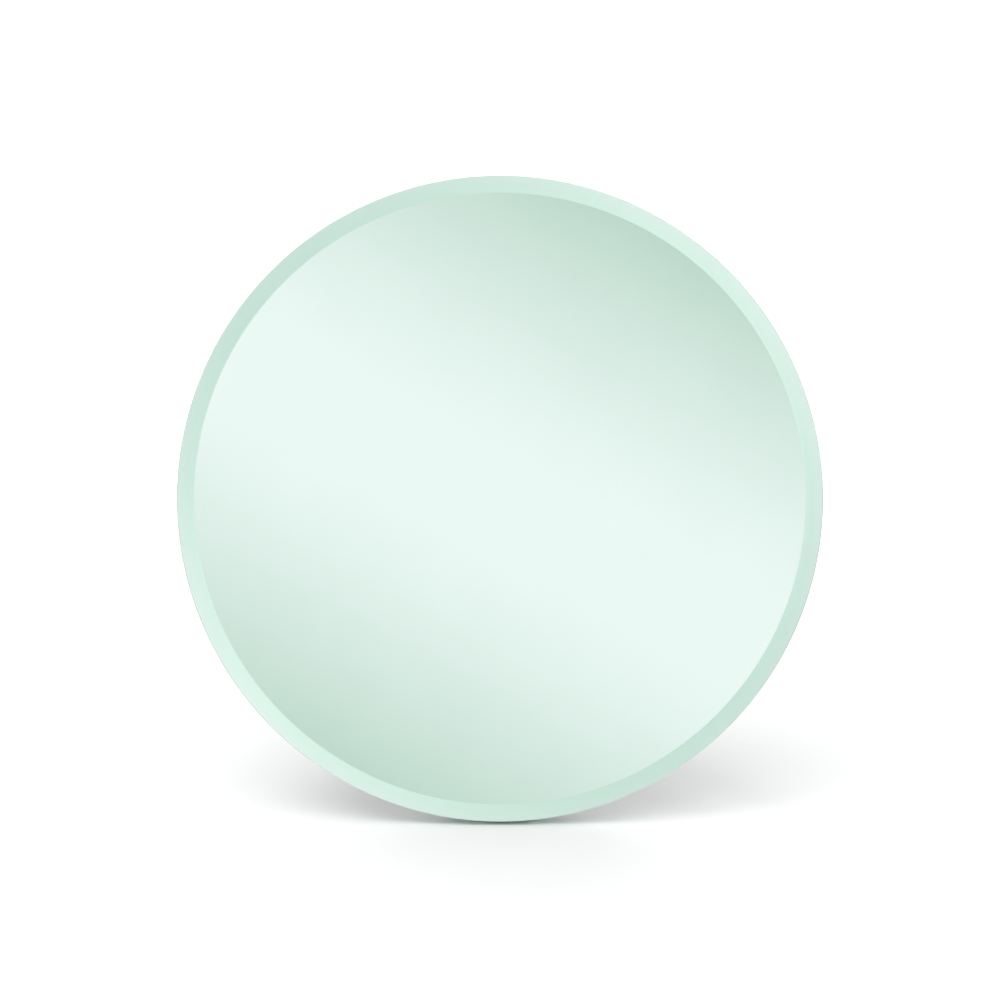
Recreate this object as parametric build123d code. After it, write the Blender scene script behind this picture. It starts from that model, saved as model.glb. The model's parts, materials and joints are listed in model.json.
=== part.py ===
from build123d import *
import os
from math import cos, radians, sin, sqrt, tan

# A frameless round countertop mirror. A bevelled glass disc is bonded to a black board, and the
# board carries a friction hinge with a folding aluminium strut. The mirror leans back and stands on
# a slim rubber foot behind the lowest point of the glass and on the strut's rubber boot.
#
# Row frame, millimetres: +X is the viewer's right, +Y points away from the viewer, +Z is up, and the
# origin is the centre of the front foot's contact patch on the counter.
# Head frame: origin at the centre of the glass's front face, x right, y up along the glass, and z
# out of the glass towards the viewer. Everything behind the glass has negative z.
# Strut frame: origin on the hinge axis, with the head frame's directions when the strut is folded.

# ---------------------------------------------------------------- driving dimensions
LEAN = 18.0                 # degrees that the glass leans back from vertical
STRUT_OPEN = 33.0           # degrees from folded flat to the strut's stop

GLASS_R = 125.0
GLASS_T = 5.0
BEVEL_W = 6.4
BEVEL_DROP = 2.0
ARRIS = 0.4                 # ground corners of the glass edge
GLASS_CLEARANCE = 0.6       # between the glass and the counter

SILVER_T = 0.1
PAINT_T = 0.1
FILM_T = 0.3
FILM_R = GLASS_R - 1.5
TAPE_T = 1.0
TAPE_W = 16.0
TAPE_PITCH = 38.0
TAPE_R = 105.0              # the strips end on this circle
BOARD_R = 110.0
BOARD_T = 6.0
BOARD_EDGE = 2.4            # rounding of the board's rear edge

HINGE_Y = 40.0              # hinge axis above the centre of the glass
BASE_W = 44.2
BASE_H = 52.0
BASE_T = 2.5
BASE_CORNER = 5.0
BASE_EDGE = 0.6
AXIS_ABOVE_BASE = 6.2
EAR_T = 4.0
EAR_R = 7.0
EAR_FOOT_W = 18.0
EAR_ROOT = 2.0              # how far the ears run into the base plate
BARREL_R = 6.0
BARREL_HALF = 17.0
BUSH_FLANGE_T = 1.0
BUSH_R = 3.5
BUSH_L = 10.0
PIN_R = 2.5
RUN_CLEARANCE = 0.05        # radial, between the pin and what turns on it
FACE_CLEARANCE = 0.1        # between faces that slide past each other
HEX_AF = 8.0                # pin head, across flats
HEX_H = 3.5
HEX_SUNK = 1.5
HEX_EDGE = 0.4

SPRING_R = 6.0
SPRING_T = 0.6
SPRING_H = 1.0
WASHER_R = 6.4
WASHER_T = 1.0
KNOB_R = 7.5
KNOB_L = 10.5
KNOB_EDGE = 0.9
KNOB_FLUTES = 14
FLUTE_R = 0.9
FLUTE_OUT = 0.3             # centre of a flute's arc, outside the knob's radius
INSERT_R = 4.0
INSERT_L = 7.0
CAP_R = 4.8
CAP_T = 1.2
CAP_SUNK = 0.72
CAP_EDGE = 0.4

BLADE_T = 4.0
BLADE_HALF_LOW = 33.0
BLADE_TAPER_FROM = 14.0     # the blade widens from this far below the axis
BLADE_CORNER = 5.0
SLOT_W = 14.0
SLOT_L = 76.0
SLOT_Y = -78.0              # middle of the slot that lightens the blade
EDGE_BREAK = 0.5            # small chamfers on metal edges
NOSE_H = 8.0                # stop face, above the axis when open
NOSE_T = 2.4
BOOT_HALF = 35.0
BOOT_T = 9.0
BOOT_H = 17.0
BOOT_FLOOR = 5.0            # rubber under the blade
BOOT_CORNER = 3.2
BOOT_TOP_EDGE = 1.0
GRIP_GROOVES = 3
GRIP_LOWEST = 3.3           # lowest groove, above the sole
GRIP_PITCH = 2.2
GRIP_W = 1.0
GRIP_DEPTH = 0.6
RIVET_R = 1.6
RIVET_HEAD_R = 3.0
RIVET_HEAD_H = 0.9
RIVET_DOME = 0.72
BOOT_RIVET_X = 22.0
BOOT_RIVET_DROP = 5.0       # rivets below the top of the boot

SCREW_R = 2.0
SCREW_L = 8.0
SCREW_HEAD_R = 3.8
SCREW_HEAD_H = 2.2
SCREW_RIM_H = 0.5           # straight part of the head's side
SCREW_FLAT_R = 2.0          # flat round the socket
SCREW_CROWN = (3.04, 1.6)   # a point on the domed side of the head, its radius and height
SCREW_TIP = 0.5
SOCKET_AF = 2.5
SOCKET_DEPTH = 1.3
HOLE_R = 2.2
INSERT_BODY_R = 3.0
INSERT_FLANGE_R = 4.5
INSERT_FLANGE_T = 0.8
INSERT_BODY_L = 5.2
FIT_GAP = 0.02              # radial, between a pressed-in piece and its hole
HINGE_SCREWS = [(x, HINGE_Y + y) for x in (-14, 14) for y in (-20, 20)]

FOOT_BAR_W = 62.0
FOOT_BAR_H = 16.0
FOOT_BAR_Y = -92.0
FOOT_BAR_CORNER = 4.0
TONGUE_W = 22.0
TONGUE_END = -118.5
FOOT_PLATE_T = 2.0
FOOT_SCREWS = [(-24, FOOT_BAR_Y), (24, FOOT_BAR_Y)]
FOOT_W = 30.0
FOOT_TOP = -110.8
FOOT_FRONT_Z = -10.5
FOOT_REAR_Z = -15.5
FOOT_CORNER = 1.8
FOOT_RIVET_X = 7.0
FOOT_RIVET_Y = -115.0

BUMPER_R = 5.0
BUMPER_H = 6.4
BUMPER_DOME = 2.0
BUMPER_X = 14.0
BUMPER_Y = -62.0

# ---------------------------------------------------------------- places that follow from them
SILVER_Z = -GLASS_T
PAINT_Z = SILVER_Z - SILVER_T
FILM_Z = PAINT_Z - PAINT_T
TAPE_Z = FILM_Z - FILM_T
BOARD_Z = TAPE_Z - TAPE_T                   # front face of the board
BOARD_REAR = BOARD_Z - BOARD_T
BASE_REAR = BOARD_REAR - BASE_T
HINGE_Z = BASE_REAR - AXIS_ABOVE_BASE
FOOT_PLATE_REAR = BOARD_REAR - FOOT_PLATE_T

EAR_IN = BARREL_HALF + BUSH_FLANGE_T + FACE_CLEARANCE
EAR_OUT = EAR_IN + EAR_T
WASHER_X = EAR_OUT + SPRING_H
KNOB_X = WASHER_X + WASHER_T + FACE_CLEARANCE
PIN_END = KNOB_X + INSERT_L

COS_LEAN = cos(radians(LEAN))
SIN_LEAN = sin(radians(LEAN))
HEAD_Z = GLASS_R * COS_LEAN + GLASS_T * SIN_LEAN + GLASS_CLEARANCE


def ground_y(z):
    """Head-frame y of the counter's surface at depth z behind the glass."""
    return -(HEAD_Z + z * SIN_LEAN) / COS_LEAN


FOOT_MID_Z = (FOOT_FRONT_Z + FOOT_REAR_Z) / 2
FOOT_DEPTH = FOOT_FRONT_Z - FOOT_REAR_Z
HEAD_Y = FOOT_MID_Z * COS_LEAN - ground_y(FOOT_MID_Z) * SIN_LEAN
HEAD = Location((0, HEAD_Y, HEAD_Z), (90 - LEAN, 0, 0))
STRUT = HEAD * Location((0, HINGE_Y, HINGE_Z), (STRUT_OPEN, 0, 0))

RAKE = STRUT_OPEN - LEAN                    # the open strut's angle from vertical
AXIS_HEIGHT = HEAD_Z + HINGE_Y * COS_LEAN + HINGE_Z * SIN_LEAN
STRUT_L = AXIS_HEIGHT / cos(radians(RAKE))  # hinge axis to the counter, along the strut
BOOT_TOP = BOOT_H - STRUT_L
BOOT_RIVET_Y = BOOT_TOP - BOOT_RIVET_DROP


# ---------------------------------------------------------------- helpers
def disc(radius, z_front, thickness):
    """A disc parallel to the glass, with its front face at z_front."""
    return Pos(0, 0, z_front - thickness / 2) * Cylinder(radius, thickness)


def along_x(radius, x_low, x_high):
    """A cylinder on the hinge axis from x_low to x_high."""
    return Pos((x_low + x_high) / 2, 0, 0) * Rot(0, 90, 0) * Cylinder(radius, x_high - x_low)


def hex_along_x(across_flats, x_low, x_high):
    """A hexagonal prism on the hinge axis."""
    outline = RegularPolygon(across_flats / 2, 6, major_radius=False)
    return extrude(Plane.YZ.offset(x_low) * outline, x_high - x_low)


def side_profile(points, half_width):
    """A solid of constant section across x, drawn as (y, z) points."""
    return extrude(Plane.YZ * Polygon(*points, align=None), half_width, both=True)


def revolved(points):
    """A solid of revolution about z, drawn as (radius, z) points."""
    return revolve(Plane.XZ * Polygon(*points, align=None), Axis.Z)


# ---------------------------------------------------------------- mirror head
def mirror_glass():
    """Float glass with a flat front, a ground bevel round it and a polished edge."""
    glass = revolved([
        (0, 0),
        (GLASS_R - BEVEL_W, 0),
        (GLASS_R, -BEVEL_DROP),
        (GLASS_R, -GLASS_T),
        (0, -GLASS_T),
    ])
    rims = [e for e in glass.edges().filter_by(GeomType.CIRCLE) if e.radius > GLASS_R - BEVEL_W / 2]
    return chamfer(rims, ARRIS)


def bonding_tape():
    """Vertical strips of double-sided foam tape between the film and the board."""
    strips = []
    for column in range(-2, 3):
        x = column * TAPE_PITCH
        reach = abs(x) + TAPE_W / 2
        height = 2 * sqrt(TAPE_R ** 2 - reach ** 2)
        strips.append(Pos(x, 0, TAPE_Z - TAPE_T / 2) * Box(TAPE_W, height, TAPE_T))
    return strips


def back_board():
    """The black board behind the glass, bored for its six threaded inserts."""
    board = disc(BOARD_R, BOARD_Z, BOARD_T)
    rear_edge = board.faces().sort_by(Axis.Z)[0].edges()
    board = fillet(rear_edge, BOARD_EDGE)
    for x, y in HINGE_SCREWS + FOOT_SCREWS:
        hole = Cylinder(INSERT_BODY_R + FIT_GAP, BOARD_T)
        board -= Pos(x, y, BOARD_Z - BOARD_T / 2) * hole
    return board


def threaded_insert():
    """A flanged brass insert at the origin, its flange in front of the plane z = 0."""
    body = Pos(0, 0, -INSERT_BODY_L / 2) * Cylinder(INSERT_BODY_R, INSERT_BODY_L)
    flange = Pos(0, 0, INSERT_FLANGE_T / 2) * Cylinder(INSERT_FLANGE_R, INSERT_FLANGE_T)
    return body + flange - Cylinder(SCREW_R + FIT_GAP, 3 * INSERT_BODY_L)


def board_inserts():
    return [Pos(x, y, BOARD_Z) * threaded_insert() for x, y in HINGE_SCREWS + FOOT_SCREWS]


def button_screw():
    """A button-head screw with its head behind the plane z = 0 and its shank in front."""
    centre = (0, 0)
    rim_front = (SCREW_HEAD_R, 0)
    rim_rear = (SCREW_HEAD_R, -SCREW_RIM_H)
    crown = (SCREW_CROWN[0], -SCREW_CROWN[1])
    flat_rim = (SCREW_FLAT_R, -SCREW_HEAD_H)
    flat_centre = (0, -SCREW_HEAD_H)
    half_section = make_face([
        Line(centre, rim_front),
        Line(rim_front, rim_rear),
        ThreePointArc(rim_rear, crown, flat_rim),
        Line(flat_rim, flat_centre),
        Line(flat_centre, centre),
    ])
    head = revolve(Plane.XZ * half_section, Axis.Z)
    shank = Pos(0, 0, SCREW_L / 2) * Cylinder(SCREW_R, SCREW_L)
    shank = chamfer(shank.faces().sort_by(Axis.Z)[-1].edges(), SCREW_TIP)
    outline = RegularPolygon(SOCKET_AF / 2, 6, major_radius=False)
    socket = Pos(0, 0, -SCREW_HEAD_H) * extrude(outline, SOCKET_DEPTH)
    return head + shank - socket


def screws(places, seat_z):
    return [Pos(x, y, seat_z) * button_screw() for x, y in places]


def fold_bumpers():
    """Two domed rubber bumpers that the folded strut rests against."""
    bumper = Pos(0, 0, -BUMPER_H / 2) * Cylinder(BUMPER_R, BUMPER_H)
    bumper = fillet(bumper.faces().sort_by(Axis.Z)[0].edges(), BUMPER_DOME)
    return [Pos(x, BUMPER_Y, BOARD_REAR) * bumper for x in (-BUMPER_X, BUMPER_X)]


# ---------------------------------------------------------------- hinge, fixed side
def hinge_bracket():
    """Cast base plate with two ears, in the strut frame's origin but never turned."""
    plate = extrude(RectangleRounded(BASE_W, BASE_H, BASE_CORNER), BASE_T)
    plate = chamfer(plate.faces().sort_by(Axis.Z)[0].edges(), BASE_EDGE)
    bracket = Pos(0, 0, AXIS_ABOVE_BASE) * plate
    ear_root = Pos(0, AXIS_ABOVE_BASE + EAR_ROOT / 2) * Rectangle(EAR_FOOT_W, EAR_ROOT)
    ear_face = make_hull(Circle(EAR_R).edges() + ear_root.edges())
    for x in (EAR_IN, -EAR_OUT):
        ear = extrude(Plane.YZ.offset(x) * ear_face, EAR_T)
        bracket += chamfer(ear.faces().filter_by(Axis.X).edges(), EDGE_BREAK)
    bracket -= along_x(PIN_R + RUN_CLEARANCE, -EAR_OUT - 1, EAR_OUT + 1)
    bracket -= hex_along_x(HEX_AF + FACE_CLEARANCE, -EAR_OUT - 1, -EAR_OUT + HEX_SUNK)
    for x, y in HINGE_SCREWS:
        bracket -= Pos(x, y - HINGE_Y, AXIS_ABOVE_BASE) * Cylinder(HOLE_R, 3 * BASE_T)
    return bracket


def hinge_pin():
    """Hex-headed pin: the head is sunk in the left ear and the right end is threaded."""
    head = hex_along_x(HEX_AF, -EAR_OUT + HEX_SUNK - HEX_H, -EAR_OUT + HEX_SUNK)
    head = chamfer(head.faces().sort_by(Axis.X)[0].edges(), HEX_EDGE)
    pin = head + along_x(PIN_R, -EAR_OUT, PIN_END)
    return chamfer(pin.faces().sort_by(Axis.X)[-1].edges(), EDGE_BREAK)


def spring_washer():
    """A dished disc spring between the right ear and the flat washer."""
    inner = PIN_R + FACE_CLEARANCE
    dish = revolved([
        (SPRING_R, 0),
        (SPRING_R, SPRING_T),
        (inner, SPRING_H),
        (inner, SPRING_H - SPRING_T),
    ])
    return Pos(EAR_OUT, 0, 0) * Rot(0, 90, 0) * dish


def flat_washer():
    washer = along_x(WASHER_R, WASHER_X, WASHER_X + WASHER_T)
    return washer - along_x(PIN_R + FACE_CLEARANCE, WASHER_X - 1, WASHER_X + 2 * WASHER_T)


# ---------------------------------------------------------------- tension knob
def tension_knob():
    """Fluted thumb knob, bored for its insert and recessed for its cap."""
    outline = Circle(KNOB_R)
    for flute in range(KNOB_FLUTES):
        outline -= Rot(0, 0, flute * 360 / KNOB_FLUTES) * Pos(KNOB_R + FLUTE_OUT, 0) * Circle(FLUTE_R)
    body = extrude(Plane.YZ.offset(KNOB_X) * outline, KNOB_L)
    # Both ends are eased by trimming the fluted bar with a turned blank.
    blank = along_x(KNOB_R, KNOB_X, KNOB_X + KNOB_L)
    blank = chamfer(blank.edges().filter_by(GeomType.CIRCLE), KNOB_EDGE)
    body &= blank
    body -= along_x(INSERT_R + FIT_GAP, KNOB_X - 1, KNOB_X + INSERT_L)
    body -= along_x(CAP_R + FIT_GAP, KNOB_X + KNOB_L - CAP_SUNK, KNOB_X + KNOB_L + 1)
    return body


def knob_insert():
    insert = along_x(INSERT_R, KNOB_X, KNOB_X + INSERT_L)
    return insert - along_x(PIN_R + RUN_CLEARANCE, KNOB_X - 1, KNOB_X + INSERT_L + 1)


def knob_cap():
    """Thin metal disc let into the end of the knob."""
    x_low = KNOB_X + KNOB_L - CAP_SUNK
    cap = along_x(CAP_R, x_low, x_low + CAP_T)
    return fillet(cap.faces().sort_by(Axis.X)[-1].edges(), CAP_EDGE)


# ---------------------------------------------------------------- strut
def strut_arm():
    """Barrel, slotted blade and stop nose, with the blade wider towards the counter."""
    blade_end = -(STRUT_L - BOOT_FLOOR)
    outline = Polygon(
        (-BARREL_HALF, 0),
        (-BARREL_HALF, -BLADE_TAPER_FROM),
        (-BLADE_HALF_LOW, blade_end),
        (BLADE_HALF_LOW, blade_end),
        (BARREL_HALF, -BLADE_TAPER_FROM),
        (BARREL_HALF, 0),
        align=None,
    )
    low_corners = outline.vertices().sort_by(Axis.Y)[:2]
    outline = chamfer(low_corners, BLADE_CORNER)
    outline -= Pos(0, SLOT_Y) * Rot(0, 0, 90) * SlotOverall(SLOT_L, SLOT_W)
    blade = extrude(outline, BLADE_T / 2, both=True)
    blade = chamfer(blade.faces().filter_by(Axis.Z).edges(), EDGE_BREAK)
    barrel = along_x(BARREL_R, -BARREL_HALF, BARREL_HALF)
    stop_face = AXIS_ABOVE_BASE - FACE_CLEARANCE
    nose = side_profile([
        (0, 0),
        (0, stop_face),
        (NOSE_H, stop_face),
        (NOSE_H, stop_face - NOSE_T),
        (NOSE_H / 2, 0),
    ], BARREL_HALF)
    # The nose is drawn as it stands when the strut is open, with its stop face on the base.
    arm = blade + barrel + Rot(-STRUT_OPEN, 0, 0) * nose
    arm -= along_x(BUSH_R + FIT_GAP, -BARREL_HALF - 1, BARREL_HALF + 1)
    for x in (-BOOT_RIVET_X, BOOT_RIVET_X):
        arm -= Pos(x, BOOT_RIVET_Y, 0) * Cylinder(RIVET_R + FIT_GAP, 2 * BLADE_T)
    return arm


def hinge_bushes():
    """Two flanged nylon bushes, pressed into the barrel from its ends."""
    bushes = []
    for side in (-1, 1):
        sleeve = along_x(BUSH_R, BARREL_HALF - BUSH_L, BARREL_HALF)
        flange = along_x(BARREL_R, BARREL_HALF, BARREL_HALF + BUSH_FLANGE_T)
        bush = sleeve + flange - along_x(PIN_R + RUN_CLEARANCE, 0, BARREL_HALF + 5)
        bushes.append(bush if side > 0 else Rot(0, 0, 180) * bush)
    return bushes


def strut_foot():
    """Rubber boot over the end of the blade, its sole flat on the counter when open."""
    rake = tan(radians(RAKE))
    half_t = BOOT_T / 2
    boot = side_profile([
        (-STRUT_L - half_t * rake, -half_t),
        (-STRUT_L + half_t * rake, half_t),
        (BOOT_TOP, half_t),
        (BOOT_TOP, -half_t),
    ], BOOT_HALF)
    boot = fillet(boot.edges().filter_by(Axis.Y), BOOT_CORNER)
    boot = chamfer(boot.faces().sort_by(Axis.Y)[-1].edges(), BOOT_TOP_EDGE)
    for row in range(GRIP_GROOVES):
        for side in (-1, 1):
            groove = Box(3 * BOOT_HALF, GRIP_W, 2 * GRIP_DEPTH)
            boot -= Pos(0, GRIP_LOWEST + GRIP_PITCH * row - STRUT_L, side * half_t) * groove
    boot -= strut_arm()
    for x in (-BOOT_RIVET_X, BOOT_RIVET_X):
        boot -= Pos(x, BOOT_RIVET_Y, 0) * Cylinder(RIVET_R + FIT_GAP, 2 * BOOT_T)
    return boot


def rivet(grip):
    """A rivet through a grip of the given thickness, centred on z = 0."""
    shank = Cylinder(RIVET_R, grip)
    for side in (-1, 1):
        head = Pos(0, 0, side * (grip + RIVET_HEAD_H) / 2) * Cylinder(RIVET_HEAD_R, RIVET_HEAD_H)
        outer = head.faces().sort_by(Axis.Z)[-1 if side > 0 else 0].edges()
        shank += fillet(outer, RIVET_DOME)
    return shank


def strut_foot_rivets():
    return [Pos(x, BOOT_RIVET_Y, 0) * rivet(BOOT_T) for x in (-BOOT_RIVET_X, BOOT_RIVET_X)]


# ---------------------------------------------------------------- front foot
def foot_bracket():
    """Flat steel tee on the board, its tongue reaching down behind the glass."""
    bar = Pos(0, FOOT_BAR_Y) * RectangleRounded(FOOT_BAR_W, FOOT_BAR_H, FOOT_BAR_CORNER)
    tongue_h = FOOT_BAR_Y - TONGUE_END
    tongue = Pos(0, FOOT_BAR_Y - tongue_h / 2) * Rectangle(TONGUE_W, tongue_h)
    outline = bar + tongue
    for x, y in FOOT_SCREWS:
        outline -= Pos(x, y) * Circle(HOLE_R)
    for x in (-FOOT_RIVET_X, FOOT_RIVET_X):
        outline -= Pos(x, FOOT_RIVET_Y) * Circle(RIVET_R + FIT_GAP)
    return Pos(0, 0, FOOT_PLATE_REAR) * extrude(outline, FOOT_PLATE_T)


def front_foot():
    """Rubber shoe on the tongue, its sole flat on the counter."""
    half = FOOT_W / 2
    shoe = side_profile([
        (ground_y(FOOT_FRONT_Z), FOOT_FRONT_Z),
        (ground_y(FOOT_REAR_Z), FOOT_REAR_Z),
        (FOOT_TOP, FOOT_REAR_Z),
        (FOOT_TOP, FOOT_FRONT_Z),
    ], half)
    shoe = fillet(shoe.edges().filter_by(Axis.Y), FOOT_CORNER)
    shoe -= foot_bracket()
    for x in (-FOOT_RIVET_X, FOOT_RIVET_X):
        shoe -= Pos(x, FOOT_RIVET_Y, FOOT_MID_Z) * Cylinder(RIVET_R + FIT_GAP, 2 * FOOT_DEPTH)
    return shoe


def front_foot_rivets():
    return [Pos(x, FOOT_RIVET_Y, FOOT_MID_Z) * rivet(FOOT_DEPTH) for x in (-FOOT_RIVET_X, FOOT_RIVET_X)]


# ---------------------------------------------------------------- assembly and export
PIVOT = HEAD * Location((0, HINGE_Y, HINGE_Z))

NODES = {
    "mirror_glass": (HEAD, mirror_glass()),
    "silver_coating": (HEAD, disc(GLASS_R - ARRIS, SILVER_Z, SILVER_T)),
    "backing_paint": (HEAD, disc(GLASS_R - ARRIS, PAINT_Z, PAINT_T)),
    "safety_film": (HEAD, disc(FILM_R, FILM_Z, FILM_T)),
    "bonding_tape": (HEAD, bonding_tape()),
    "back_board": (HEAD, back_board()),
    "board_inserts": (HEAD, board_inserts()),
    "fold_bumpers": (HEAD, fold_bumpers()),
    "hinge_bracket": (PIVOT, hinge_bracket()),
    "hinge_bracket_screws": (HEAD, screws(HINGE_SCREWS, BASE_REAR)),
    "hinge_pin": (PIVOT, hinge_pin()),
    "spring_washer": (PIVOT, spring_washer()),
    "flat_washer": (PIVOT, flat_washer()),
    "tension_knob": (PIVOT, tension_knob()),
    "knob_insert": (PIVOT, knob_insert()),
    "knob_cap": (PIVOT, knob_cap()),
    "strut_arm": (STRUT, strut_arm()),
    "hinge_bushes": (STRUT, hinge_bushes()),
    "strut_foot": (STRUT, strut_foot()),
    "strut_foot_rivets": (STRUT, strut_foot_rivets()),
    "foot_bracket": (HEAD, foot_bracket()),
    "foot_bracket_screws": (HEAD, screws(FOOT_SCREWS, FOOT_PLATE_REAR)),
    "front_foot": (HEAD, front_foot()),
    "front_foot_rivets": (HEAD, front_foot_rivets()),
}

os.makedirs("parts", exist_ok=True)
for name, (place, shape) in NODES.items():
    solids = shape if isinstance(shape, list) else [shape]
    placed = [place * solid for solid in solids]
    whole = placed[0] if len(placed) == 1 else Compound(children=placed)
    export_step(whole, f"parts/{name}.step")

axis_point = PIVOT.position
print("hinge axis y, z:", round(axis_point.Y, 4), round(axis_point.Z, 4))
print("strut foot sole y:", round(axis_point.Y + STRUT_L * sin(radians(RAKE)), 4))
print("glass centre y, z:", round(HEAD_Y, 4), round(HEAD_Z, 4))
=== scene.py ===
import json
import math

import bmesh
import bpy
from mathutils import Matrix, Vector


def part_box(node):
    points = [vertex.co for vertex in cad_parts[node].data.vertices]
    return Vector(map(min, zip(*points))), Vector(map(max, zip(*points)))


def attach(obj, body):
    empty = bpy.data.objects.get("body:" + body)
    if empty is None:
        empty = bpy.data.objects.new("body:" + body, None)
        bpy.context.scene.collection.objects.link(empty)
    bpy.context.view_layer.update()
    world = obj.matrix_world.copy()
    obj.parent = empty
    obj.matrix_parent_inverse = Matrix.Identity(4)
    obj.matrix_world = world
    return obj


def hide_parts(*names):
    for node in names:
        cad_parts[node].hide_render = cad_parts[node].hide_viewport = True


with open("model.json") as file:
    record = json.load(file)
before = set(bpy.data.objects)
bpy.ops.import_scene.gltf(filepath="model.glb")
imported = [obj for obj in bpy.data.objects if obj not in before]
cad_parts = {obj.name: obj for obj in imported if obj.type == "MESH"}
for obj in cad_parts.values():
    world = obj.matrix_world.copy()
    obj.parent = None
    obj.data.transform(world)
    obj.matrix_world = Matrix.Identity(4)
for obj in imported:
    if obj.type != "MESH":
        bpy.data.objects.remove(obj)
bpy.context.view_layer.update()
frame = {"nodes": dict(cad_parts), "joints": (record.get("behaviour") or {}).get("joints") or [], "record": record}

# A frameless round countertop mirror, leaning back on a folding strut.
# Every size is in metres. The head frame has its origin at the centre of the glass's front face, x to
# the right, y up along the glass and z out towards the viewer. The strut frame has its origin on the
# hinge axis, y up along the strut and z towards the mirror's back, as it stands open.

MM = 0.001
LEAN = math.radians(18)          # the glass from vertical
STRUT_OPEN = math.radians(33)    # the strut from folded
HINGE_UP = 40 * MM               # hinge axis above the centre of the glass
HINGE_BACK = 21.2 * MM           # hinge axis behind the glass's front face

GLASS_R = (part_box("mirror_glass")[1].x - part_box("mirror_glass")[0].x) / 2
GLASS_T = 5 * MM
BEVEL_W = 6.4 * MM
BEVEL_DROP = 2 * MM
FRONT_ARRIS = 0.15 * MM          # the fine ground corners of the glass's edge
REAR_ARRIS = 0.4 * MM
SILVER_GAP = 0.02 * MM           # air between the glass and its silver, so that the two faces don't meet
RIM_STEPS = 720
CORNER_FINISH = 0.4              # of the front corner, between polished at 0 and ground at 1
SMOOTH_BELOW = math.radians(12)  # edges that turn less than this are shaded smooth

hinge = Vector(frame["joints"][0]["pos_m"])
PIVOT = Matrix.Translation(hinge) @ Matrix.Rotation(math.pi / 2 - LEAN, 4, "X")
HEAD = PIVOT @ Matrix.Translation((0, -HINGE_UP, HINGE_BACK))
STRUT = PIVOT @ Matrix.Rotation(STRUT_OPEN, 4, "X")

# ---------------------------------------------------------------- camera, colour and light values
LENS = 200
SENSOR = 36
FACE_SHARE = 0.646               # of the frame's width that the disc fills
RISE = 0.0014                    # of the frame's width that the disc stands above its middle
CAMERA_AWAY = GLASS_R * 2 * LENS / (SENSOR * FACE_SHARE) - BEVEL_DROP

# Light that goes 10 mm through the glass keeps 84 % of its red, 98 % of its green and 92 % of its blue.
GLASS_TINT = (0.006, 0.907, 0.494, 1)
GLASS_DENSITY = 17.0
SILVER_LOW = (0.940, 0.958, 0.945)
SILVER_HIGH = (0.955, 0.970, 0.958)

# Places on the panels are tangents of the angle from the mirror's axis.
FACE_REACH = GLASS_R / CAMERA_AWAY   # what the flat of the glass shows from the camera
BAND_TURN = math.radians(62)     # the light falls away in this direction, from the mirror's own right
BAND_SHIFT = -0.012 * FACE_REACH
BAND_HALF = 0.14 * FACE_REACH
BAND_FADE = 0.81 * FACE_REACH
BAND_EASE = 1.25
BAND_LIGHT = (1.042, 1.003, 1.047)
BAND_DARK = (0.6425, 0.740, 0.691)
BORDER_TURN = math.radians(34)   # the border is lightest in this direction
BORDER_LIGHT = (0.88, 0.965, 0.937)
BORDER_DARK = (0.675, 0.79, 0.748)
FACE_EDGE = (1.05 * FACE_REACH, 1.25 * FACE_REACH)   # the band's panel ends and its border begins
BORDER_EDGE = (0.32, 0.42)
ROOM_WALL = (0.95, 0.96, 0.97)
ROOM_FLAG = (0.30, 0.305, 0.31)  # dark flags hang round the room and give the metal its contrast
FLAG_HEIGHT = (0.03, 0.30)       # they fade out towards the floor
FLAG_SOFT = (-0.6, 0.7)          # how softly a flag begins and ends, as sines
ROOM_TOP = (1.4, 1.4, 1.4)
TOP_HEIGHT = (0.45, 0.9)         # where the walls give way to the ceiling
FLAGS = 4
FLAG_TURN = math.radians(40)
BACKDROP = (1.0, 1.0, 1.0)
FLOOR_R = 30
SOFTBOXES = (                    # name, place, target, size and watts
    ("key", (-1.3, -0.5, 2.3), (0, 0, 0.1), (1.4, 1.4), 9),
    ("rear", (1.2, 1.9, 1.5), (0, 0.05, 0.1), (1.0, 1.0), 7),
    ("strip", (-1.5, 1.3, 0.7), (0, 0.05, 0.1), (0.25, 1.2), 5),
    ("low_fill", (0.1, 1.5, 0.45), (0, 0.03, 0), (1.8, 0.6), 4),
)


# ---------------------------------------------------------------- node helpers
EDGE_TURN = (0.995, 0.86)        # cosines between the true and the rounded normal, off an edge and on it
WAVE_TURN = 20                   # radians that a wave texture turns in one unit at scale 1


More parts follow.
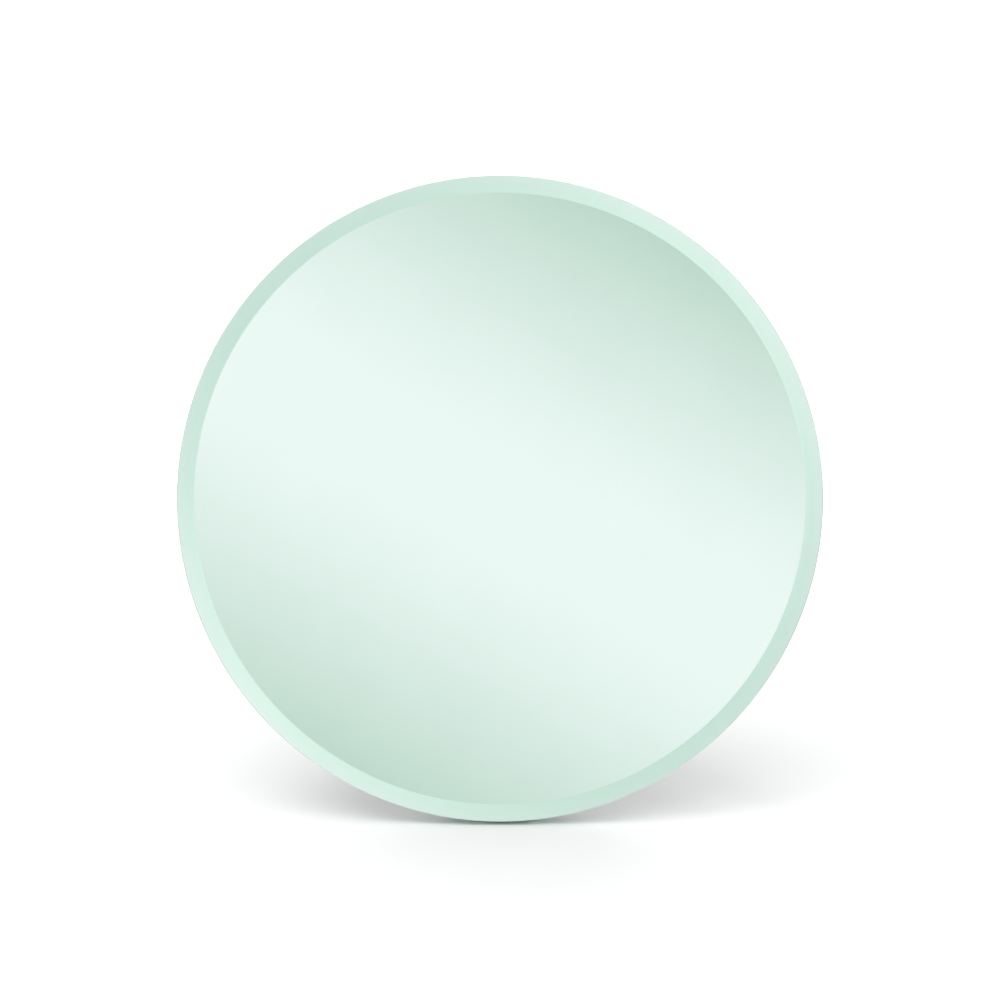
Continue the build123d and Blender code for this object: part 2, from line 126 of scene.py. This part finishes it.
class Look:
    """A new material with a Principled shader, and short ways to add the nodes that feed it."""

    def __init__(self, name, place=None):
        self.material = bpy.data.materials.new(name)
        self.material.use_nodes = True
        self.tree = self.material.node_tree
        self.shader = self.tree.nodes["Principled BSDF"]
        self.coords = self.local_mm(place or Matrix.Identity(4))

    def node(self, kind, **settings):
        n = self.tree.nodes.new(kind)
        for key, value in settings.items():
            setattr(n, key, value)
        return n

    def link(self, source, target):
        self.tree.links.new(source, target)

    def local_mm(self, place):
        """Coordinates in millimetres in the frame that place describes."""
        inverse = place.inverted()
        mapping = self.node("ShaderNodeMapping", vector_type="POINT")
        mapping.inputs["Scale"].default_value = (1 / MM,) * 3
        mapping.inputs["Rotation"].default_value = inverse.to_euler()
        mapping.inputs["Location"].default_value = inverse.to_translation() / MM
        self.link(self.node("ShaderNodeTexCoord").outputs["Object"], mapping.inputs["Vector"])
        return mapping.outputs["Vector"]

    def stretched(self, x, y, z):
        """The local coordinates with each axis multiplied."""
        mapping = self.node("ShaderNodeMapping")
        mapping.inputs["Scale"].default_value = (x, y, z)
        self.link(self.coords, mapping.inputs["Vector"])
        return mapping.outputs["Vector"]

    def noise(self, scale, detail=4.0, roughness=0.55, vector=None):
        """Noise with features about 1 / scale millimetres apart, from 0 to 1."""
        n = self.node("ShaderNodeTexNoise")
        n.inputs["Scale"].default_value = scale
        n.inputs["Detail"].default_value = detail
        n.inputs["Roughness"].default_value = roughness
        self.link(vector or self.coords, n.inputs["Vector"])
        return n.outputs["Fac"]

    def cells(self, scale, feature="F1"):
        """Distances from cells about 1 / scale millimetres across."""
        n = self.node("ShaderNodeTexVoronoi", feature=feature)
        n.inputs["Scale"].default_value = scale
        self.link(self.coords, n.inputs["Vector"])
        return n.outputs["Distance"]

    def spread(self, value, low, high, out_low=0.0, out_high=1.0):
        """The value from low..high, spread over out_low..out_high and clamped."""
        n = self.node("ShaderNodeMapRange")
        self.link(value, n.inputs["Value"])
        n.inputs["From Min"].default_value = low
        n.inputs["From Max"].default_value = high
        n.inputs["To Min"].default_value = out_low
        n.inputs["To Max"].default_value = out_high
        return n.outputs["Result"]

    def math(self, operation, a, b=None):
        n = self.node("ShaderNodeMath", operation=operation)
        for value, socket in ((a, n.inputs[0]), (b, n.inputs[1])):
            if isinstance(value, (int, float)):
                socket.default_value = value
            elif value is not None:
                self.link(value, socket)
        return n.outputs["Value"]

    def mix(self, factor, a, b):
        """A colour between a and b. Each is a colour or a socket."""
        n = self.node("ShaderNodeMix", data_type="RGBA")
        self.link(factor, n.inputs["Factor"])
        for value, socket in ((a, n.inputs[6]), (b, n.inputs[7])):
            if isinstance(value, tuple):
                socket.default_value = (*value, 1)
            else:
                self.link(value, socket)
        return n.outputs[2]

    def edges(self, radius_mm):
        """How near a sharp edge is: 0 away from it, and up to 1 on it, broken up a little as wear is. The
        materials mostly lighten their edges with it, partly as wear and partly as a painted edge highlight.
        """
        rounded = self.node("ShaderNodeBevel", samples=4)
        rounded.inputs["Radius"].default_value = radius_mm * MM
        turn = self.node("ShaderNodeVectorMath", operation="DOT_PRODUCT")
        self.link(rounded.outputs["Normal"], turn.inputs[0])
        self.link(self.node("ShaderNodeNewGeometry").outputs["Normal"], turn.inputs[1])
        near = self.spread(turn.outputs["Value"], *EDGE_TURN)
        return self.math("MULTIPLY", near, self.spread(self.noise(0.9, 5), 0.35, 0.6, 0.35, 1.0))

    def bump(self, height, depth_mm):
        n = self.node("ShaderNodeBump")
        n.inputs["Distance"].default_value = depth_mm * MM
        self.link(height, n.inputs["Height"])
        return n.outputs["Normal"]

    def set(self, **inputs):
        """Sets or links the shader's inputs: base_color=..., roughness=..., and so on."""
        for key, value in inputs.items():
            socket = self.shader.inputs[key.replace("_", " ").title().replace("Ior", "IOR")]
            if isinstance(value, bpy.types.NodeSocket):
                self.link(value, socket)
            elif isinstance(value, tuple):
                socket.default_value = (*value, 1)
            else:
                socket.default_value = value
        return self


# ---------------------------------------------------------------- materials
def clear_glass():
    """Float glass: clear on its faces, green through its depth, with a ground and polished edge."""
    look = Look("clear_glass", HEAD)
    ground = look.node("ShaderNodeAttribute", attribute_name="ground").outputs["Fac"]
    streaks = look.noise(1.0, 3, vector=look.stretched(0.3, 0.3, 9.0))
    edge = look.mix(look.spread(streaks, 0.3, 0.7), (0.20, 0.50, 0.36), (0.34, 0.64, 0.50))
    look.set(
        base_color=look.mix(ground, (1.0, 1.0, 1.0), edge),
        roughness=look.math("MULTIPLY", ground, look.spread(streaks, 0.3, 0.7, 0.18, 0.30)),
        transmission_weight=look.spread(ground, 0, 1, 1.0, 0.35),
        ior=1.52,
        normal=look.bump(look.math("MULTIPLY", ground, streaks), 0.006),
    )
    depth = look.node("ShaderNodeVolumeAbsorption")
    depth.inputs["Color"].default_value = GLASS_TINT
    depth.inputs["Density"].default_value = GLASS_DENSITY
    look.link(depth.outputs["Volume"], look.tree.nodes["Material Output"].inputs["Volume"])
    return look.material


def silvering():
    """Silver behind the glass, with the faintest clouding."""
    look = Look("silvering", HEAD)
    cloud = look.spread(look.noise(0.03, 5), 0.35, 0.65)
    look.set(
        base_color=look.mix(cloud, SILVER_LOW, SILVER_HIGH),
        metallic=1.0,
        roughness=0.0,
    )
    return look.material


def backing_paint():
    look = Look("backing_paint", HEAD)
    grain = look.noise(2.5, 6)
    look.set(
        base_color=look.mix(look.spread(grain, 0.35, 0.65), (0.030, 0.040, 0.045), (0.055, 0.068, 0.074)),
        roughness=look.spread(grain, 0.3, 0.7, 0.45, 0.65),
        normal=look.bump(grain, 0.05),
    )
    return look.material


def safety_film():
    """Pale film reinforced with a woven scrim of flat threads."""
    look = Look("safety_film", HEAD)
    pitch = 1.6
    threads = []
    for axis in range(2):
        wave = look.node("ShaderNodeTexWave", wave_type="BANDS", wave_profile="SIN")
        wave.bands_direction = "XY"[axis]
        wave.inputs["Scale"].default_value = math.tau / pitch / WAVE_TURN
        wave.inputs["Distortion"].default_value = 0.15
        wave.inputs["Detail"].default_value = 1.0
        look.link(look.coords, wave.inputs["Vector"])
        threads.append(wave.outputs["Fac"])
    checker = look.node("ShaderNodeTexChecker")
    checker.inputs["Scale"].default_value = 1 / pitch
    look.link(look.coords, checker.inputs["Vector"])
    over = look.math("MULTIPLY", checker.outputs["Fac"], threads[0])
    under = look.math("MULTIPLY", look.math("SUBTRACT", 1.0, checker.outputs["Fac"]), threads[1])
    weave = look.math("ADD", over, under)
    dust = look.spread(look.noise(0.12, 6), 0.42, 0.62)
    cloth = look.mix(weave, (0.47, 0.49, 0.49), (0.70, 0.71, 0.69))
    look.set(
        base_color=look.mix(look.math("MULTIPLY", dust, 0.25), cloth, (0.50, 0.49, 0.45)),
        roughness=look.spread(weave, 0, 1, 0.5, 0.32),
        coat_weight=0.25,
        coat_roughness=0.2,
        normal=look.bump(weave, 0.12),
    )
    return look.material


def foam_tape():
    look = Look("foam_tape", HEAD)
    pores = look.cells(4.0)
    # Each pore is painted darker at its centre, where the bump sinks it: painted shade in the pores.
    look.set(
        base_color=look.mix(pores, (0.42, 0.42, 0.40), (0.60, 0.60, 0.57)),
        roughness=0.9,
        normal=look.bump(pores, 0.08),
    )
    return look.material


def board_laminate():
    """Black laminate with a fine pebbled grain."""
    look = Look("board_laminate", HEAD)
    pebbles = look.cells(0.8, "SMOOTH_F1")
    fine = look.noise(6.0, 5)
    height = look.math("ADD", pebbles, look.math("MULTIPLY", fine, 0.25))
    patches = look.spread(look.noise(0.05, 6, 0.6), 0.38, 0.68)
    # The grain is painted darker between the pebbles, where the bump sinks them: painted shade in the hollows. The
    # random patches on top of it are real ageing.
    grain = look.mix(look.spread(pebbles, 0.1, 0.6), (0.018, 0.0185, 0.020), (0.006, 0.006, 0.007))
    aged_with_hollow_shade = look.mix(look.math("MULTIPLY", patches, 0.3), grain, (0.024, 0.024, 0.024))
    # The edges are painted lighter: partly wear, partly a painted edge highlight.
    look.set(
        base_color=look.mix(look.math("MULTIPLY", look.edges(0.5), 0.5), aged_with_hollow_shade, (0.075, 0.073, 0.070)),
        roughness=look.spread(look.math("ADD", pebbles, patches), 0.2, 1.3, 0.38, 0.50),
        specular_ior_level=0.25,
        normal=look.bump(height, -0.35),
    )
    return look.material


def cast_alloy():
    """Satin die-cast metal: a fine sandy skin, a little darker in patches."""
    look = Look("cast_alloy", PIVOT)
    skin = look.noise(3.2, 8, 0.65)
    patches = look.spread(look.noise(0.22, 5), 0.35, 0.65)
    # Lighter and smoother along the edges: the smoothness is wear, and the lighter colour is partly wear and
    # partly a painted edge highlight.
    worn_and_highlit_edges = look.edges(0.5)
    cast = look.mix(patches, (0.36, 0.365, 0.37), (0.45, 0.455, 0.455))
    rough = look.math("SUBTRACT", look.math("ADD", skin, patches), look.math("MULTIPLY", worn_and_highlit_edges, 0.6))
    look.set(
        base_color=look.mix(worn_and_highlit_edges, cast, (0.70, 0.70, 0.70)),
        metallic=1.0,
        roughness=look.spread(rough, 0.4, 1.4, 0.27, 0.44),
        normal=look.bump(skin, 0.06),
    )
    return look.material


def turned_metal(name, dark, light, rough_low, rough_high):
    """Turned metal: fine rings of tool marks about the hinge axis, on its sides and on its ends."""
    look = Look(name, PIVOT)
    rings_per_mm = 9.0
    place = look.node("ShaderNodeSeparateXYZ")
    look.link(look.coords, place.inputs["Vector"])
    radius = look.math("SQRT", look.math(
        "ADD",
        look.math("POWER", place.outputs["Y"], 2.0),
        look.math("POWER", place.outputs["Z"], 2.0),
    ))
    rings = look.node("ShaderNodeCombineXYZ")
    look.link(look.math("MULTIPLY", place.outputs["X"], rings_per_mm), rings.inputs["X"])
    look.link(look.math("MULTIPLY", radius, rings_per_mm), rings.inputs["Y"])
    marks = look.noise(1.0, 4, vector=rings.outputs["Vector"])
    stain = look.spread(look.noise(0.35, 5), 0.35, 0.65)
    look.set(
        base_color=look.mix(look.spread(marks, 0.3, 0.7), dark, light),
        metallic=1.0,
        roughness=look.spread(look.math("ADD", marks, stain), 0.4, 1.5, rough_low, rough_high),
        normal=look.bump(marks, 0.006),
    )
    return look.material


def zinc_steel():
    """Zinc plate, with the soft bluish and straw patches of its passivation."""
    look = Look("zinc_steel", HEAD)
    spangle = look.cells(0.35, "SMOOTH_F1")
    cloud = look.spread(look.noise(0.12, 6), 0.35, 0.65)
    plate = look.mix(cloud, (0.50, 0.53, 0.58), (0.62, 0.60, 0.53))
    look.set(
        base_color=look.mix(look.math("MULTIPLY", spangle, 0.4), plate, (0.42, 0.43, 0.45)),
        metallic=1.0,
        roughness=look.spread(look.math("ADD", spangle, cloud), 0.3, 1.3, 0.26, 0.42),
        normal=look.bump(look.noise(3.0, 6), 0.02),
    )
    return look.material


def brushed_aluminium():
    """Anodised aluminium, brushed along the strut."""
    look = Look("brushed_aluminium", STRUT)
    lines = look.noise(1.0, 6, 0.6, look.stretched(7.0, 0.05, 7.0))
    broad = look.noise(1.0, 3, 0.5, look.stretched(0.5, 0.012, 0.5))
    smudge = look.spread(look.noise(0.045, 4), 0.4, 0.65)
    shade = look.math("ADD", lines, look.math("MULTIPLY", broad, 0.25))
    brushed = look.mix(look.spread(shade, 0.4, 0.85), (0.34, 0.345, 0.355), (0.45, 0.455, 0.465))
    # The edges are painted lighter: partly wear, partly a painted edge highlight.
    look.set(
        base_color=look.mix(look.edges(0.4), brushed, (0.66, 0.66, 0.66)),
        metallic=1.0,
        roughness=look.spread(look.math("ADD", shade, smudge), 0.4, 1.7, 0.26, 0.40),
        normal=look.bump(lines, 0.006),
    )
    return look.material


def moulded(name, place, dark, light, rough_low, rough_high, depth):
    """Moulded rubber or plastic with a spark-eroded skin and a trace of dust."""
    look = Look(name, place)
    skin = look.noise(4.5, 7, 0.65)
    dust = look.spread(look.noise(0.18, 6), 0.45, 0.7)
    # Dust and the edges mix in the second colour. On the black knob and rubber it is lighter, so their edges are
    # partly wear and partly a painted edge highlight. On the white nylon it is darker and yellower, as dirt.
    dust_and_edges = look.math("MAXIMUM", look.math("MULTIPLY", dust, 0.6), look.edges(0.4))
    look.set(
        base_color=look.mix(dust_and_edges, dark, light),
        roughness=look.spread(look.math("ADD", skin, dust), 0.4, 1.3, rough_low, rough_high),
        specular_ior_level=0.4,
        normal=look.bump(skin, depth),
    )
    return look.material



MATERIALS = {
    "clear_glass": clear_glass(),
    "silvering": silvering(),
    "backing_paint": backing_paint(),
    "safety_film": safety_film(),
    "foam_tape": foam_tape(),
    "board_laminate": board_laminate(),
    "cast_alloy": cast_alloy(),
    "screw_steel": turned_metal("screw_steel", (0.44, 0.44, 0.43), (0.56, 0.56, 0.55), 0.16, 0.28),
    "zinc_steel": zinc_steel(),
    "knob_plastic": moulded(
        "knob_plastic", PIVOT, (0.020, 0.020, 0.022), (0.055, 0.055, 0.055), 0.34, 0.52, 0.05,
    ),
    "brass": turned_metal("brass", (0.60, 0.42, 0.17), (0.74, 0.55, 0.26), 0.18, 0.30),
    "satin_aluminium": turned_metal("satin_aluminium", (0.62, 0.62, 0.63), (0.74, 0.74, 0.75), 0.20, 0.32),
    "brushed_aluminium": brushed_aluminium(),
    "white_nylon": moulded(
        "white_nylon", PIVOT, (0.72, 0.71, 0.66), (0.60, 0.58, 0.52), 0.36, 0.50, 0.02,
    ),
    "black_rubber": moulded(
        "black_rubber", HEAD, (0.013, 0.013, 0.014), (0.060, 0.058, 0.055), 0.58, 0.80, 0.08,
    ),
}

for part in frame["record"]["subparts"]:
    node = frame["nodes"][part["node"]]
    for material_slot in node.material_slots:
        material_slot.link = "OBJECT"
        material_slot.material = MATERIALS[part["material_slot"]]


# ---------------------------------------------------------------- the glass
def turned(name, outline, steps, place):
    """A closed solid turned about z from its outline of (radius, z, ground) points, from axis to axis.

    Ground is the finish of the strip from that point to the next: 0 for polished and 1 for ground.
    """
    shape = bmesh.new()
    ground = shape.faces.layers.float.new("ground")
    angles = [math.tau * step / steps for step in range(steps)]
    rings = []
    for radius, z, _ in outline:
        if radius == 0:
            rings.append([shape.verts.new((0, 0, z))])
        else:
            rings.append([shape.verts.new((radius * math.cos(a), radius * math.sin(a), z)) for a in angles])
    for inner, outer, (_, _, finish) in zip(rings, rings[1:], outline):
        for step in range(steps):
            after = (step + 1) % steps
            corners = [inner[step % len(inner)], outer[step % len(outer)],
                       outer[after % len(outer)], inner[after % len(inner)]]
            corners = [c for i, c in enumerate(corners) if c not in corners[:i]]
            shape.faces.new(corners)[ground] = finish
    bmesh.ops.recalc_face_normals(shape, faces=shape.faces)
    for edge in shape.edges:
        edge.smooth = edge.calc_face_angle() < SMOOTH_BELOW
    for face in shape.faces:
        face.smooth = True
    mesh = bpy.data.meshes.new(name)
    shape.to_mesh(mesh)
    shape.free()
    mesh.transform(place)
    piece = bpy.data.objects.new(name, mesh)
    bpy.context.scene.collection.objects.link(piece)
    return piece


def glass_disc():
    """The bevelled disc, with a small ground corner at each rim and a ground edge between them."""
    slope = BEVEL_DROP / BEVEL_W
    bevel_foot = BEVEL_DROP - FRONT_ARRIS * slope
    back = -GLASS_T + SILVER_GAP
    outline = [
        (0, 0, 0),
        (GLASS_R - BEVEL_W, 0, 0),
        (GLASS_R - FRONT_ARRIS, -bevel_foot, CORNER_FINISH),
        (GLASS_R, -BEVEL_DROP - FRONT_ARRIS, 1),
        (GLASS_R, back + REAR_ARRIS, 1),
        (GLASS_R - REAR_ARRIS, back, 0),
        (0, back, 0),
    ]
    disc = turned("mirror_glass_disc", outline, RIM_STEPS, HEAD)
    disc.data.materials.append(MATERIALS["clear_glass"])
    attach(disc, "mirror")
    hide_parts("mirror_glass")


glass_disc()

# ---------------------------------------------------------------- camera
camera_data = bpy.data.cameras.new("camera")
camera_data.lens = LENS
camera_data.sensor_width = SENSOR
camera_data.shift_y = -RISE
camera_data.clip_start = 0.01
camera_data.clip_end = 200
camera = bpy.data.objects.new("camera", camera_data)
camera.matrix_world = HEAD @ Matrix.Translation((0, 0, CAMERA_AWAY))
bpy.context.scene.collection.objects.link(camera)
bpy.context.scene.camera = camera


# ---------------------------------------------------------------- floor and light
def floor():
    """A wide pale floor, flat under the feet."""
    bpy.ops.mesh.primitive_circle_add(vertices=128, radius=FLOOR_R, fill_type="NGON")
    ground = bpy.context.object
    ground.name = "floor"
    look = Look("floor_paper")
    look.set(base_color=(0.95, 0.95, 0.95), roughness=0.9, specular_ior_level=0.2)
    ground.data.materials.append(look.material)


def studio_world():
    """A bright studio. In front of the mirror hangs a large softbox with a slanting band of light."""
    world = bpy.data.worlds.new("studio")
    bpy.context.scene.world = world
    world.use_nodes = True
    tree = world.node_tree

    def add(kind, **settings):
        n = tree.nodes.new(kind)
        for key, value in settings.items():
            setattr(n, key, value)
        return n

    def calc(operation, a, b=0.0, clamp=False):
        n = add("ShaderNodeMath", operation=operation, use_clamp=clamp)
        for value, socket in ((a, n.inputs[0]), (b, n.inputs[1])):
            if isinstance(value, (int, float)):
                socket.default_value = value
            else:
                tree.links.new(value, socket)
        return n.outputs["Value"]

    direction = add("ShaderNodeTexCoord").outputs["Generated"]

    def along(axis):
        n = add("ShaderNodeVectorMath", operation="DOT_PRODUCT")
        tree.links.new(direction, n.inputs[0])
        n.inputs[1].default_value = axis
        return n.outputs["Value"]

    def smooth(value, low, high):
        n = add("ShaderNodeMapRange", interpolation_type="SMOOTHSTEP")
        tree.links.new(value, n.inputs["Value"])
        n.inputs["From Min"].default_value = low
        n.inputs["From Max"].default_value = high
        return n.outputs["Result"]

    def blend(factor, a, b):
        n = add("ShaderNodeMix", data_type="RGBA")
        tree.links.new(factor, n.inputs["Factor"])
        for value, socket in ((a, n.inputs[6]), (b, n.inputs[7])):
            if isinstance(value, tuple):
                socket.default_value = (*value, 1)
            else:
                tree.links.new(value, socket)
        return n.outputs[2]

    turn = HEAD.to_3x3()
    facing = along(turn @ Vector((0, 0, 1)))
    x = calc("DIVIDE", along(turn @ Vector((1, 0, 0))), facing)
    y = calc("DIVIDE", along(turn @ Vector((0, 1, 0))), facing)
    away2 = calc("ADD", calc("MULTIPLY", x, x), calc("MULTIPLY", y, y))
    away = calc("SQRT", away2)

    t = calc("ADD", calc("MULTIPLY", x, math.cos(BAND_TURN)), calc("MULTIPLY", y, math.sin(BAND_TURN)))
    beside = calc("SUBTRACT", calc("ABSOLUTE", calc("SUBTRACT", t, BAND_SHIFT)), BAND_HALF)
    fade = calc("POWER", calc("DIVIDE", calc("MAXIMUM", beside, 0.0), BAND_FADE), BAND_EASE)
    band = blend(fade, BAND_LIGHT, BAND_DARK)
    s = calc("ADD", calc("MULTIPLY", x, math.cos(BORDER_TURN)), calc("MULTIPLY", y, math.sin(BORDER_TURN)))
    border = blend(calc("DIVIDE", calc("MULTIPLY", s, s), calc("MAXIMUM", away2, 1e-6)),
                   BORDER_DARK, BORDER_LIGHT)

    height = along((0, 0, 1))
    around = calc("ARCTAN2", along((1, 0, 0)), along((0, 1, 0)))
    flags = calc("SINE", calc("ADD", calc("MULTIPLY", around, FLAGS), FLAG_TURN))
    flagged = blend(smooth(flags, *FLAG_SOFT), ROOM_FLAG, ROOM_WALL)
    wall = blend(smooth(height, *FLAG_HEIGHT), ROOM_WALL, flagged)
    room = blend(smooth(height, *TOP_HEIGHT), wall, ROOM_TOP)
    panels = blend(smooth(away, *FACE_EDGE), band, border)
    panels = blend(smooth(away, *BORDER_EDGE), panels, room)
    lit = blend(calc("GREATER_THAN", facing, 0.5), room, panels)

    camera_ray = add("ShaderNodeLightPath").outputs["Is Camera Ray"]
    seen = blend(camera_ray, lit, BACKDROP)
    tree.links.new(seen, tree.nodes["Background"].inputs["Color"])


def softbox(name, place, target, size, power):
    """An area light. It's hidden from light that comes through the glass, so the bevel shows no lamp."""
    data = bpy.data.lights.new(name, "AREA")
    data.shape = "RECTANGLE"
    data.size, data.size_y = size
    data.energy = power
    lamp = bpy.data.objects.new(name, data)
    lamp.location = place
    lamp.rotation_euler = (Vector(target) - Vector(place)).to_track_quat("-Z", "Y").to_euler()
    lamp.visible_transmission = False
    bpy.context.scene.collection.objects.link(lamp)



floor()
studio_world()
for box in SOFTBOXES:
    softbox(*box)
bpy.context.scene.view_settings.view_transform = "Standard"
